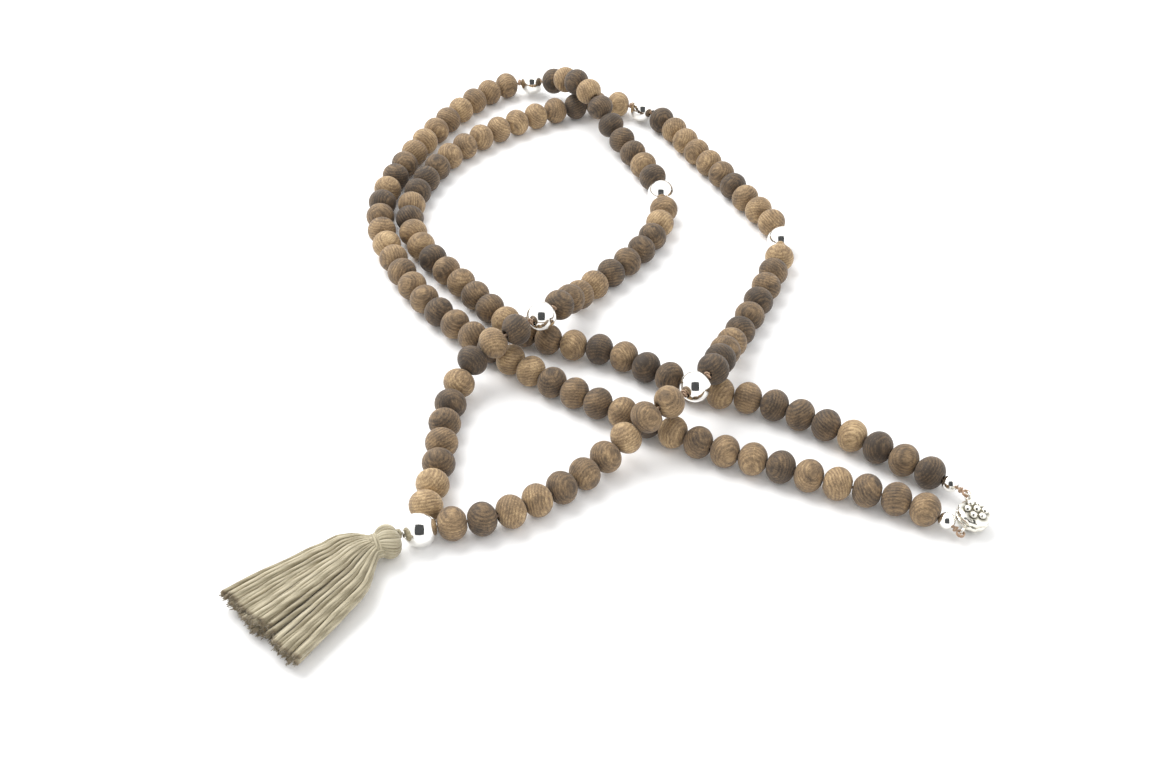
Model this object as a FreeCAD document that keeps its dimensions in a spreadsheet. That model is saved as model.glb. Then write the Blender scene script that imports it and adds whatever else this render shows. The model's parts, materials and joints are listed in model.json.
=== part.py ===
import FreeCAD, Part
import os
from math import cos, pi, radians, sin, tan

from FreeCAD import Placement, Rotation, Vector

# Mala prayer beads lying in a loop on a flat surface: two strands leave a guru bead,
# cross over the pair of tails, and meet again at a magnetic clasp. A tassel hangs from the guru.

doc = FreeCAD.newDocument("Mala")
sheet = doc.addObject("Spreadsheet::Sheet", "Sizes")

sizes = {
    "bead_diameter": 8.0,
    "bead_length": 6.4,
    "bead_face": 2.8,
    "bead_bore": 2.0,
    "bead_pitch": 6.85,
    "spacer_diameter": 7.6,
    "spacer_bore": 2.0,
    "spacer_step": 8.4,
    "guru_diameter": 8.0,
    "guru_step": 7.35,
    "ball_diameter": 4.0,
    "ball_bore": 1.5,
    "ball_step": 5.4,
    "cord_diameter": 0.7,
    "knot_diameter": 1.9,
    "knot_length": 0.9,
    "knot_hole": 0.8,
    "clasp_diameter": 7.8,
    "clasp_rim": 1.1,
    "clasp_half": 2.3,
    "clasp_gap": 0.2,
    "clasp_x": 82.0,
    "clasp_y": -75.2,
    "clasp_height": 3.2,
    "clasp_tilt": 10.0,
    "magnet_diameter": 5.0,
    "magnet_depth": 1.0,
    "granule_diameter": 1.5,
    "granule_circle": 2.1,
    "ring_radius": 0.95,
    "ring_wire": 0.6,
    "ring_sink": 0.35,
    "upper_ring_heading": 98.0,
    "lower_ring_heading": -126.0,
    "loop_radius": 0.8,
    "loop_wire": 0.7,
    "tassel_heading": 208.0,
    "skirt_heading": 225.0,
    "head_diameter": 7.8,
    "head_crown": 2.4,
    "head_start": 5.3,
    "neck_start": 8.7,
    "neck_diameter": 6.0,
    "wrap_thread": 0.8,
    "skirt_start": 11.3,
    "skirt_length": 32.1,
    "hanger_diameter": 1.1,
}
for row, (alias, number) in enumerate(sizes.items(), start=1):
    sheet.set(f"A{row}", alias)
    sheet.set(f"B{row}", str(number))
    sheet.setAlias(f"B{row}", alias)
doc.recompute()


def size(alias):
    return float(sheet.get(alias))


# Routes of the two strands, from the guru bead to the clasp, in millimetres. The height is that
# of the cord's centre line: it rises where a strand lies over the strands below it.

strand_a = [
    (-43, -80, 4), (-42, -71, 4), (-40, -59, 4), (-40, -46, 4), (-38, -34, 4), (-34, -26, 8),
    (-26, -23, 12.7), (-17, -16, 12.7), (-11, -6, 10), (-7, 4, 4), (0, 12, 4), (9, 22, 4),
    (15, 33, 4), (18, 46, 4), (15, 60, 4), (9, 73, 4), (3, 84, 6), (-3, 93, 12.6),
    (-9, 102, 12.6), (-14, 110, 7), (-22, 114.5, 4), (-31.5, 112.5, 4), (-38.5, 105.5, 4),
    (-44, 98, 4), (-49, 90, 4), (-55, 78, 4), (-60, 65, 4), (-64, 51, 4), (-64, 37, 4),
    (-60, 24, 4), (-54, 11, 4), (-47, 0, 4), (-36, -12, 4), (-26, -21, 4), (-14, -31, 4),
    (-2, -39, 4), (11, -46, 4), (24, -54, 4), (37, -59, 4), (50, -65, 4), (62, -69, 4),
    (70, -73, 4), (75, -76.4, 4), (77.7, -79, 2.8),
]

strand_b = [
    (-43, -80, 4), (-35, -78, 4), (-25, -76, 4), (-15, -70, 4), (-5, -62, 4), (3, -54, 6),
    (10, -50, 12.6), (19, -44, 12.7), (26, -35, 12.7), (29, -24, 8), (33, -14, 4), (39, -2, 4),
    (45, 12, 4), (50, 26, 4), (48, 37, 4), (41, 49, 4), (35, 62, 4), (28, 74, 4),
    (22, 87, 4), (14, 98, 4), (2, 102, 4), (-11, 99, 4), (-24, 92, 4), (-36, 83, 4),
    (-46, 72, 4), (-52, 60, 4), (-55.5, 48, 4), (-55.5, 37, 4), (-52, 27, 4), (-46, 18, 4), (-39, 9.5, 4),
    (-32, 0, 4), (-23, -11, 4), (-11, -16, 4), (2, -19, 4), (12, -27, 4), (24, -34, 4),
    (37, -37, 4), (49, -44, 4), (60, -51, 4), (69, -58, 4), (75, -62.6, 4), (78.6, -65.8, 4),
    (80.5, -68.3, 4.5),
]

sections = (10, 10, 10, 40)
links = 9
group = 10


class Route:
    """Straight runs joined by tangent arcs, with a place and a heading at any length along it."""

    def __init__(self, points):
        corners = [Vector(*point) for point in points]
        self.spans = []
        self.radii = []
        here = corners[0]
        for before, corner, after in zip(corners, corners[1:], corners[2:]):
            arriving, leaving = corner - before, after - corner
            reach = 0.45 * min(arriving.Length, leaving.Length)
            turn = arriving.getAngle(leaving)
            radius = reach / tan(turn / 2)
            arriving.normalize()
            leaving.normalize()
            start = corner - arriving * reach
            stop = corner + leaving * reach
            inward = leaving - arriving
            inward.normalize()
            centre = corner + inward * (radius / cos(turn / 2))
            self.spans.append(("run", here, start, (start - here).Length, None))
            self.spans.append(("arc", start, stop, radius * turn, (centre, arriving)))
            self.radii.append(radius)
            here = stop
        self.spans.append(("run", here, corners[-1], (corners[-1] - here).Length, None))
        self.length = sum(span[3] for span in self.spans)

    def at(self, distance):
        for kind, start, stop, length, bend in self.spans:
            if distance <= length or stop is self.spans[-1][2]:
                break
            distance -= length
        if kind == "run":
            heading = stop - start
            heading.normalize()
            return start + heading * distance, heading
        centre, arriving = bend
        spoke = start - centre
        angle = distance / spoke.Length
        place = centre + spoke * cos(angle) + arriving * (spoke.Length * sin(angle))
        heading = arriving * cos(angle) - spoke * (sin(angle) / spoke.Length)
        return place, heading

    def edges(self, first, last):
        """The path's edges between two lengths along it."""
        pieces = []
        travelled = 0
        for kind, start, stop, length, bend in self.spans:
            low = max(first, travelled)
            high = min(last, travelled + length)
            travelled += length
            if high - low < 1e-6:
                continue
            begin = self.at(low)[0]
            end = self.at(high)[0]
            if kind == "run":
                pieces.append(Part.LineSegment(begin, end).toShape())
            else:
                middle = self.at((low + high) / 2)[0]
                pieces.append(Part.Arc(begin, middle, end).toShape())
        return pieces

    def tube(self, diameter, first, last):
        path = Part.Wire(self.edges(first, last))
        place, heading = self.at(first)
        circle = Part.Wire(Part.Circle(place, heading, diameter / 2).toShape())
        solid = path.makePipeShell([circle], True, False)
        expected = pi * diameter ** 2 / 4 * path.Length
        print(f"tube {path.Length:.1f} mm, volume ratio {solid.Volume / expected:.4f}")
        return solid


def along(place, heading):
    """The placement that turns a piece made on the Z axis to lie along the route."""
    return Placement(place, Rotation(Vector(0, 0, 1), heading))


def stations(route):
    """Where the beads of a strand sit: each as its kind and its length along the route."""
    found = []
    distance = size("guru_step")
    for number, count in enumerate(sections):
        for bead in range(count):
            found.append(("wood", distance))
            distance += size("bead_pitch")
        distance -= size("bead_pitch")
        if number < len(sections) - 1:
            distance += size("spacer_step")
            found.append(("spacer", distance))
            distance += size("spacer_step")
    found.append(("ball", distance + size("ball_step")))
    return found


# Masters: each bead is drawn once, on the Z axis, and copied along the strands.

def revolved_body(name, draw):
    """A PartDesign body whose sketch, drawn on the XZ plane, is turned about the Z axis."""
    body = doc.addObject("PartDesign::Body", name)
    sketch = body.newObject("Sketcher::SketchObject", name + "Profile")
    plane = next(item for item in body.Origin.OriginFeatures if item.Role == "XZ_Plane")
    sketch.AttachmentSupport = [(plane, "")]
    sketch.MapMode = "FlatFace"
    draw(sketch)
    doc.recompute()
    turned = body.newObject("PartDesign::Revolution", name + "Turned")
    turned.Profile = sketch
    turned.ReferenceAxis = (sketch, ["V_Axis"])
    turned.Angle = 360
    doc.recompute()
    return body


def bind(sketch, constraint, name, expression):
    index = sketch.addConstraint(constraint)
    sketch.renameConstraint(index, name)
    sketch.setExpression(f"Constraints.{name}", expression)


def line(sketch, start, stop):
    return sketch.addGeometry(Part.LineSegment(Vector(*start, 0), Vector(*stop, 0)), False)


def draw_wood_bead(sketch):
    import Sketcher
    half = size("bead_length") / 2
    rim = size("bead_diameter") / 2
    face = size("bead_face") / 2
    bore = size("bead_bore") / 2
    low = line(sketch, (bore, -half), (face, -half))
    belly = sketch.addGeometry(
        Part.Arc(Vector(face, -half, 0), Vector(rim, 0, 0), Vector(face, half, 0)), False)
    high = line(sketch, (face, half), (bore, half))
    wall = line(sketch, (bore, half), (bore, -half))
    join = Sketcher.Constraint
    sketch.addConstraint([
        join("Coincident", low, 2, belly, 1), join("Coincident", belly, 2, high, 1),
        join("Coincident", high, 2, wall, 1), join("Coincident", wall, 2, low, 1),
        join("Horizontal", low), join("Horizontal", high),
        join("Symmetric", low, 1, high, 2, -1),
    ])
    bind(sketch, join("DistanceX", -1, 1, low, 1, bore), "bore", "Sizes.bead_bore / 2")
    bind(sketch, join("DistanceX", -1, 1, low, 2, face), "face", "Sizes.bead_face / 2")
    bind(sketch, join("DistanceY", low, 1, high, 2, 2 * half), "width", "Sizes.bead_length")
    bind(sketch, join("Radius", belly, 3.4), "belly",
         "((Sizes.bead_length / 2) ^ 2 + ((Sizes.bead_diameter - Sizes.bead_face) / 2) ^ 2)"
         " / (Sizes.bead_diameter - Sizes.bead_face)")


def drilled_ball(name, diameter, bore):
    """A ball with one bore along Z, its sizes bound to the sheet."""
    ball = doc.addObject("Part::Sphere", name + "Ball")
    ball.setExpression("Radius", f"Sizes.{diameter} / 2")
    drill = doc.addObject("Part::Cylinder", name + "Drill")
    drill.setExpression("Radius", f"Sizes.{bore} / 2")
    drill.setExpression("Height", f"Sizes.{diameter} * 2")
    drill.setExpression(".Placement.Base.z", f"-Sizes.{diameter}")
    cut = doc.addObject("Part::Cut", name)
    cut.Base = ball
    cut.Tool = drill
    doc.recompute()
    return cut


nodes = []


def keep(item, label):
    item.Label = label
    nodes.append(item)
    return item


def placed(label, shapes, placement=None):
    """A node made of finished shapes; its placement follows its shape."""
    item = doc.addObject("Part::Feature", label)
    item.Shape = Part.makeCompound(shapes) if len(shapes) > 1 else shapes[0]
    if placement is not None:
        item.Placement = placement
    return keep(item, label)


def copies(master, spots):
    shapes = []
    for spot in spots:
        shape = master.Shape.copy()
        shape.Placement = spot.multiply(shape.Placement)
        shapes.append(shape)
    return shapes


wood_master = revolved_body("WoodBead", draw_wood_bead)
spacer_master = drilled_ball("SpacerBead", "spacer_diameter", "spacer_bore")
ball_master = drilled_ball("EndBall", "ball_diameter", "ball_bore")
knot_master = doc.addObject("Part::Cut", "CordKnot")
knot_body = doc.addObject("Part::Ellipsoid", "KnotBody")
knot_body.setExpression("Radius1", "Sizes.knot_length / 2")
knot_body.setExpression("Radius2", "Sizes.knot_diameter / 2")
knot_body.setExpression("Radius3", "Sizes.knot_diameter / 2")
knot_drill = doc.addObject("Part::Cylinder", "KnotDrill")
knot_drill.setExpression("Radius", "Sizes.knot_hole / 2")
knot_drill.setExpression("Height", "Sizes.knot_diameter * 2")
knot_drill.setExpression(".Placement.Base.z", "-Sizes.knot_diameter")
knot_master.Base = knot_body
knot_master.Tool = knot_drill
doc.recompute()

# The strands.

route_a = Route(strand_a)
route_b = Route(strand_b)
for name, route in (("strand a", route_a), ("strand b", route_b)):
    print(name, f"{route.length:.1f} mm", "radii", " ".join(f"{radius:.0f}" for radius in route.radii))

for letter, route in (("a", route_a), ("b", route_b)):
    beads = stations(route)
    wood = [distance for kind, distance in beads if kind == "wood"]
    spacers = [distance for kind, distance in beads if kind == "spacer"]
    ball = beads[-1][1]
    singles = links if letter == "b" else 0
    grouped = wood[:len(wood) - singles]
    for number, start in enumerate(range(0, len(grouped), group), start=1):
        spots = [along(*route.at(distance)) for distance in grouped[start:start + group]]
        placed(f"wood_{letter}_{number:02d}", copies(wood_master, spots))
    for number, distance in enumerate(wood[len(grouped):], start=1):
        placed(f"wood_tail_{number}", [wood_master.Shape.copy()], along(*route.at(distance)))
    for number, distance in enumerate(spacers, start=1):
        placed(f"spacer_{letter}_{number}", [spacer_master.Shape.copy()], along(*route.at(distance)))
        clearance = (size("spacer_diameter") + size("knot_length")) / 2 + 0.05
        spots = [along(*route.at(distance + side * clearance)) for side in (-1, 1)]
        placed(f"knots_{letter}_{number}", copies(knot_master, spots))
    placed(f"end_ball_{letter}", [ball_master.Shape.copy()], along(*route.at(ball)))
    print("strand", letter, "last bead", [round(value, 2) for value in route.at(wood[-1])[0]],
          "ball", [round(value, 2) for value in route.at(ball)[0]], f"at {ball:.1f}")
    if letter == "b":
        split = (wood[-links] + wood[-links - 1]) / 2
        joints = [(wood[index] + wood[index - 1]) / 2 for index in range(len(wood) - links, len(wood))]

both = route_a.tube(size("cord_diameter"), 0, route_a.length).fuse(
    route_b.tube(size("cord_diameter"), 0, split - 0.05))
placed("stringing_cord", [both.removeSplitter()])
placed("cord_tail", [route_b.tube(size("cord_diameter"), split + 0.05, route_b.length)])

# The guru bead has three bores, one for each strand and one for the tassel.

guru_place = Vector(*strand_a[0])
guru_ball = doc.addObject("Part::Sphere", "GuruBall")
guru_ball.setExpression("Radius", "Sizes.guru_diameter / 2")
# The seams of both balls are turned to the side that has no bore.
seam_side = Placement(Vector(0, 0, 0), Rotation(Vector(0, 0, 1), -90))
guru_ball.Placement = seam_side
drills = []
tassel_way = Vector(cos(radians(size("tassel_heading"))), sin(radians(size("tassel_heading"))), 0)
for name, heading in (("A", route_a.at(0)[1]), ("B", route_b.at(0)[1]), ("Tassel", tassel_way)):
    drill = doc.addObject("Part::Cylinder", "GuruDrill" + name)
    drill.setExpression("Radius", "Sizes.bead_bore / 2")
    drill.setExpression("Height", "Sizes.guru_diameter")
    drill.Placement = along(Vector(0, 0, 0), heading)
    drills.append(drill)
meeting = doc.addObject("Part::Sphere", "GuruMeeting")
meeting.setExpression("Radius", "Sizes.bead_bore * 0.65")
meeting.Placement = seam_side
drills.append(meeting)
guru_bores = doc.addObject("Part::MultiFuse", "GuruBores")
guru_bores.Shapes = drills
guru = doc.addObject("Part::Cut", "Guru")
guru.Base = guru_ball
guru.Tool = guru_bores
guru.Placement = Placement(guru_place, Rotation())
keep(guru, "guru_bead")

# The clasp: two domed silver halves, each with a magnet let into its flat face and a ring on its
# rim. It is drawn about its own middle plane, then set down beside the tails.


def draw_half(sketch):
    import Sketcher
    join = Sketcher.Constraint
    rim = size("clasp_diameter") / 2
    seat = size("magnet_diameter") / 2
    depth = size("magnet_depth")
    base = size("clasp_gap") / 2
    edge = base + size("clasp_rim")
    top = base + size("clasp_half")
    rise = top - edge
    radius = (rim ** 2 + rise ** 2) / (2 * rise)
    lift = base + depth
    centre_y = top - radius
    middle = Vector(radius * sin(0.3), centre_y + radius * cos(0.3), 0)
    foot = line(sketch, (seat, base), (rim, base))
    side = line(sketch, (rim, base), (rim, edge))
    dome = sketch.addGeometry(Part.Arc(Vector(rim, edge, 0), middle, Vector(0, top, 0)), False)
    axis = line(sketch, (0, top), (0, lift))
    floor = line(sketch, (0, lift), (seat, lift))
    wall = line(sketch, (seat, lift), (seat, base))
    order = (foot, side, dome, axis, floor, wall)
    for one, two in zip(order, order[1:] + order[:1]):
        sketch.addConstraint(join("Coincident", one, 2, two, 1))
    sketch.addConstraint([
        join("Horizontal", foot), join("Vertical", side), join("Vertical", axis),
        join("Horizontal", floor), join("Vertical", wall), join("PointOnObject", axis, 1, -2),
        join("PointOnObject", dome, 3, -2),
    ])
    bind(sketch, join("DistanceX", -1, 1, foot, 2, rim), "rim", "Sizes.clasp_diameter / 2")
    bind(sketch, join("DistanceX", -1, 1, foot, 1, seat), "seat", "Sizes.magnet_diameter / 2")
    bind(sketch, join("DistanceY", -1, 1, foot, 1, base), "base", "Sizes.clasp_gap / 2")
    bind(sketch, join("DistanceY", side, 1, side, 2, edge - base), "edge", "Sizes.clasp_rim")
    bind(sketch, join("DistanceY", foot, 1, axis, 1, top - base), "top", "Sizes.clasp_half")
    bind(sketch, join("DistanceY", wall, 2, wall, 1, depth), "depth", "Sizes.magnet_depth")


def bump(body, name, distance, height):
    ball = body.newObject("PartDesign::AdditiveSphere", name)
    ball.setExpression("Radius", "Sizes.granule_diameter / 2")
    ball.Placement = Placement(Vector(distance, 0, height), Rotation())
    doc.recompute()
    return ball


clasp_centre = Vector(size("clasp_x"), size("clasp_y"), size("clasp_height"))
clasp_lean = Rotation(Vector(0, 1, 0), size("clasp_tilt"))
ring_reach = (size("clasp_diameter") + size("ring_wire")) / 2 + size("ring_radius") - size("ring_sink")
ring_level = size("clasp_gap") / 2 + size("ring_radius") + size("ring_wire") / 2

for half, flip in (("upper", 0), ("lower", 180)):
    body = revolved_body("Clasp" + half.title(), draw_half)
    crown = bump(body, half.title() + "Crown", 0, size("clasp_gap") / 2 + size("clasp_half"))
    rise = size("clasp_half") - size("clasp_rim")
    sphere_radius = ((size("clasp_diameter") / 2) ** 2 + rise ** 2) / (2 * rise)
    drop = sphere_radius - (sphere_radius ** 2 - size("granule_circle") ** 2) ** 0.5
    petal = bump(body, half.title() + "Petal", size("granule_circle"), crown.Placement.Base.z - drop)
    petals = body.newObject("PartDesign::PolarPattern", half.title() + "Petals")
    petals.Originals = [petal]
    petals.Axis = (body.Origin.OriginFeatures[2], [""])
    petals.Angle = 360
    petals.Occurrences = 6
    body.Tip = petals
    doc.recompute()
    side = size(half + "_ring_heading")
    local_side = side if half == "upper" else -side
    ring = body.newObject("PartDesign::AdditiveTorus", half.title() + "Ring")
    ring.setExpression("Radius1", "Sizes.ring_radius")
    ring.setExpression("Radius2", "Sizes.ring_wire / 2")
    ring.Placement = Placement(
        Vector(ring_reach * cos(radians(local_side)), ring_reach * sin(radians(local_side)), ring_level),
        Rotation(Vector(0, 0, 1), local_side).multiply(Rotation(Vector(1, 0, 0), 90)))
    body.Tip = ring
    turned = clasp_lean.multiply(Rotation(Vector(1, 0, 0), flip))
    body.Placement = Placement(clasp_centre, turned)
    doc.recompute()
    keep(body, "clasp_" + half)

    magnet = doc.addObject("Part::Cylinder", "Magnet" + half.title())
    magnet.Radius = size("magnet_diameter") / 2 - 0.02
    magnet.setExpression("Height", "Sizes.magnet_depth - 0.02")
    magnet.Placement = Placement(clasp_centre, turned).multiply(
        Placement(Vector(0, 0, size("clasp_gap") / 2), Rotation()))
    keep(magnet, "magnet_" + half)

    # The cord's last loop goes through the ring, and a knot closes it at the strand's end.
    level = ring_level if half == "upper" else -ring_level
    out = Vector(cos(radians(side)), sin(radians(side)), 0)
    loop_centre = clasp_centre + clasp_lean.multVec(out * (ring_reach + size("ring_radius")) + Vector(0, 0, level))
    loop = Part.makeTorus(size("loop_radius"), size("loop_wire") / 2)
    loop.Placement = Placement(loop_centre, clasp_lean)
    placed("end_loop_" + half, [loop])
    print(half, "loop", [round(value, 2) for value in loop_centre])

# The tassel: a cord loop from the guru, a head of folded yarn, a wrapped neck and a fanned skirt.


def draw_head(sketch):
    import Sketcher
    join = Sketcher.Constraint
    start, neck, stop = size("head_start"), size("neck_start"), size("skirt_start")
    core = size("neck_diameter") / 2
    rim = size("head_diameter") / 2
    crown = size("head_crown") / 2
    axis = line(sketch, (0, stop), (0, start))
    top = line(sketch, (0, start), (crown, start))
    bulb = sketch.addGeometry(
        Part.Arc(Vector(crown, start, 0), Vector(rim, (start + neck) / 2, 0), Vector(core, neck, 0)), False)
    side = line(sketch, (core, neck), (core, stop))
    end = line(sketch, (core, stop), (0, stop))
    order = (axis, top, bulb, side, end)
    for one, two in zip(order[:-1], order[1:]):
        sketch.addConstraint(join("Coincident", one, 2, two, 1))
    sketch.addConstraint([
        join("Coincident", end, 2, axis, 1), join("PointOnObject", axis, 1, -2),
        join("Vertical", axis), join("Horizontal", top), join("Vertical", side), join("Horizontal", end),
    ])
    bind(sketch, join("DistanceY", -1, 1, axis, 2, start), "start", "Sizes.head_start")
    bind(sketch, join("DistanceX", -1, 1, top, 2, crown), "crown", "Sizes.head_crown / 2")
    bind(sketch, join("DistanceY", -1, 1, bulb, 2, neck), "neck", "Sizes.neck_start")
    bind(sketch, join("DistanceY", -1, 1, end, 1, stop), "stop", "Sizes.skirt_start")
    bind(sketch, join("DistanceX", -1, 1, side, 1, core), "core", "Sizes.neck_diameter / 2")


def heading_vector(angle):
    return Vector(cos(radians(angle)), sin(radians(angle)), 0)


tassel_turn = along(guru_place, heading_vector(size("tassel_heading")))
head = revolved_body("TasselHead", draw_head)
head.Placement = tassel_turn
keep(head, "tassel_head")

turns = []
for turn in range(3):
    thread = doc.addObject("Part::Torus", f"WrapTurn{turn}")
    thread.Radius1 = size("neck_diameter") / 2 + size("wrap_thread") / 2 + 0.02
    thread.setExpression("Radius2", "Sizes.wrap_thread / 2")
    thread.Placement = Placement(
        Vector(0, 0, size("neck_start") + size("wrap_thread") * (0.7 + turn * 0.9)), Rotation())
    turns.append(thread)
wrap = doc.addObject("Part::MultiFuse", "Wrap")
wrap.Shapes = turns
wrap.Placement = tassel_turn
keep(wrap, "tassel_wrap")

# The cord ends in the guru's bore; a knot outside it carries the tassel and lets it swing.
guru_radius = size("guru_diameter") / 2
stub = Part.makeCylinder(size("cord_diameter") / 2, guru_radius - 1.5, Vector(0, 0, 1), Vector(0, 0, 1))
placed("tassel_cord", [stub], tassel_turn)
hanger = doc.addObject("Part::Sphere", "Hanger")
hanger.setExpression("Radius", "Sizes.hanger_diameter / 2")
hanger.Placement = tassel_turn.multiply(
    Placement(Vector(0, 0, (guru_radius + size("head_start")) / 2), Rotation()))
keep(hanger, "tassel_knot")

# Skirt sections, each as: share of the length, half width, half thickness, height of its middle.
fan = [
    (0, 3.1, 3.0, 4.0), (0.07, 5.6, 3.4, 4.0), (0.16, 7.8, 3.6, 4.0),
    (0.34, 10.0, 3.6, 3.9), (0.67, 12.2, 3.3, 3.6), (1, 14.2, 3.0, 3.3),
]
neck_end = guru_place + heading_vector(size("tassel_heading")) * (size("skirt_start") + 0.1)
skirt_way = heading_vector(size("skirt_heading"))
ribs = []
for number, (share, width, thickness, height) in enumerate(fan):
    bend = min(1, share * 6)
    angle = size("tassel_heading") + (size("skirt_heading") - size("tassel_heading")) * bend
    rib = doc.addObject("Part::Ellipse", f"Rib{number}")
    rib.MajorRadius = width
    rib.MinorRadius = thickness
    place = neck_end + skirt_way * (share * size("skirt_length"))
    place.z = height
    upright = Rotation(Vector(0, 0, 1), angle - 90).multiply(Rotation(Vector(1, 0, 0), 90))
    rib.Placement = Placement(place, upright)
    ribs.append(rib)
skirt = doc.addObject("Part::Loft", "Skirt")
skirt.Sections = ribs
skirt.Solid = True
skirt.Ruled = False
keep(skirt, "tassel_skirt")
doc.recompute()

# Every object must be sound before anything is written.

for item in doc.Objects:
    if "Invalid" in item.State or "Error" in item.State:
        raise SystemExit(f"{item.Name} failed: {item.State}")
os.makedirs("parts", exist_ok=True)
whole = FreeCAD.BoundBox()
for item in nodes:
    shape = item.Shape
    if shape.isNull() or not shape.isValid() or shape.Volume <= 0:
        raise SystemExit(f"{item.Label} has a bad shape")
    whole.add(shape.BoundBox)
for item in nodes:
    item.Shape.exportStep(f"parts/{item.Label}.step")
print(len(nodes), "nodes, box", whole)
print("tail hinges:")
for distance in joints:
    place, heading = route_b.at(distance)
    print([round(value, 3) for value in place], [round(value, 4) for value in heading])
print("spacer axes:")
for letter, route in (("a", route_a), ("b", route_b)):
    for kind, distance in stations(route):
        if kind == "spacer":
            place, heading = route.at(distance)
            print(letter, [round(value, 3) for value in place], [round(value, 4) for value in heading])
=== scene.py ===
import json
import math
import random

import bmesh
import bpy
from mathutils import Matrix, Vector, noise

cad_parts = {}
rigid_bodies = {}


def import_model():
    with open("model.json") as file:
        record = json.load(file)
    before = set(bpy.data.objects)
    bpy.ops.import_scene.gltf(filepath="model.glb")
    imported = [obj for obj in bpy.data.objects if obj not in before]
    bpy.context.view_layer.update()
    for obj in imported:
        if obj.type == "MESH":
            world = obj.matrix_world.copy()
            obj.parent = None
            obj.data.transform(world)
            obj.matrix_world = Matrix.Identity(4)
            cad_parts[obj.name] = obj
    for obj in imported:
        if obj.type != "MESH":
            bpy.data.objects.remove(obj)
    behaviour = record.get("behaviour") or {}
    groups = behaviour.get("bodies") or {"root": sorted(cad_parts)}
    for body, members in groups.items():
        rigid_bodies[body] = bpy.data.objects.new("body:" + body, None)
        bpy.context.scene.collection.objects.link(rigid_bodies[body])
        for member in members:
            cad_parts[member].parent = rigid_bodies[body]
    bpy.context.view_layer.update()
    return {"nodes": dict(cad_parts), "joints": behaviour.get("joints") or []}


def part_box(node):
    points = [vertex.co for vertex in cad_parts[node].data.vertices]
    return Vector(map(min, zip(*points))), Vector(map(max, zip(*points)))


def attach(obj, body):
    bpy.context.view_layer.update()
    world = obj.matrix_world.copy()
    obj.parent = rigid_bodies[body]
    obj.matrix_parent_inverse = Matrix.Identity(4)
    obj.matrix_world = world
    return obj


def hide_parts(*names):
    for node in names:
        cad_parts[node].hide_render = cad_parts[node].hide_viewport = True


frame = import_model()
mm = 0.001
up = Vector((0, 0, 1))
print("frame loaded:", len(frame["nodes"]), "nodes")


# Small tools

def linearColour(code):
    channels = [int(code[i:i + 2], 16) / 255 for i in (1, 3, 5)]
    return [c / 12.92 if c <= 0.04045 else ((c + 0.055) / 1.055) ** 2.4 for c in channels] + [1.0]


def addNode(tree, kind, settings=None, links=None):
    node = tree.nodes.new("ShaderNode" + kind)
    for name, value in (settings or {}).items():
        if isinstance(name, str) and hasattr(node, name):
            setattr(node, name, value)
        else:
            node.inputs[name].default_value = value
    for name, socket in (links or {}).items():
        tree.links.new(socket, node.inputs[name])
    return node


def newMaterial(name, settings):
    material = bpy.data.materials.new(name)
    material.use_nodes = True
    surface = material.node_tree.nodes["Principled BSDF"]
    for socket, value in settings.items():
        surface.inputs[socket].default_value = value
    return material, material.node_tree, surface


def setRamp(node, stops):
    ramp = node.color_ramp
    while len(ramp.elements) < len(stops):
        ramp.elements.new(0.5)
    for element, (position, code) in zip(ramp.elements, stops):
        element.position = position
        element.color = linearColour(code)
    return node


def middleOf(nodeName):
    low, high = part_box(nodeName)
    return (Vector(low) + Vector(high)) / 2


def boxMiddle(points):
    return Vector([(min(p[i] for p in points) + max(p[i] for p in points)) / 2 for i in range(3)])


def turned(axis, place, spin=0.0):
    # from a piece made on the Z axis at the origin to its place
    turn = up.rotation_difference(Vector(axis).normalized()).to_matrix().to_4x4()
    return Matrix.Translation(place) @ turn @ Matrix.Rotation(spin, 4, "Z")


def spun(profile, sides, closed=True):
    # profile of (radius, height) pairs in millimetres, turned once round Z
    bm = bmesh.new()
    verts = [bm.verts.new((radius * mm, 0, height * mm)) for radius, height in profile]
    pairs = list(zip(verts, verts[1:]))
    if closed:
        pairs.append((verts[-1], verts[0]))
    edges = [bm.edges.new(pair) for pair in pairs]
    bmesh.ops.spin(bm, geom=verts + edges, cent=(0, 0, 0), axis=(0, 0, 1), angle=math.tau,
                   steps=sides, use_merge=True)
    bmesh.ops.remove_doubles(bm, verts=bm.verts, dist=1e-7)
    bmesh.ops.recalc_face_normals(bm, faces=bm.faces)
    return bm


def roundProfile(reach, level, thick, points):
    # profile of a round wire, bent to a ring of the given reach
    turns = [math.tau * n / points for n in range(points)]
    return [(reach + thick * math.cos(a), level + thick * math.sin(a)) for a in turns]


def asMesh(bm, name):
    mesh = bpy.data.meshes.new(name)
    bm.to_mesh(mesh)
    bm.free()
    mesh.shade_smooth()
    return mesh


def asPiece(mesh, name, material, body, slotName, *nodes):
    mesh.materials.clear()
    mesh.materials.append(material)
    piece = bpy.data.objects.new(name, mesh)
    bpy.context.scene.collection.objects.link(piece)
    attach(piece, body)
    if nodes:
        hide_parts(*nodes)
    return piece


def asStage(bm, name, material, onlyInMetal=False):
    thing = bpy.data.objects.new(name, asMesh(bm, name))
    thing.data.materials.append(material)
    bpy.context.scene.collection.objects.link(thing)
    if onlyInMetal:  # seen as a reflection and nowhere else
        for sight in ("visible_camera", "visible_diffuse", "visible_shadow", "visible_transmission"):
            setattr(thing, sight, False)
    return thing


def finishNode(nodeName, material):
    # a CAD node that is shown as it is, with a finished surface
    data = frame["nodes"][nodeName].data
    data.materials.clear()
    data.materials.append(material)


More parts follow.
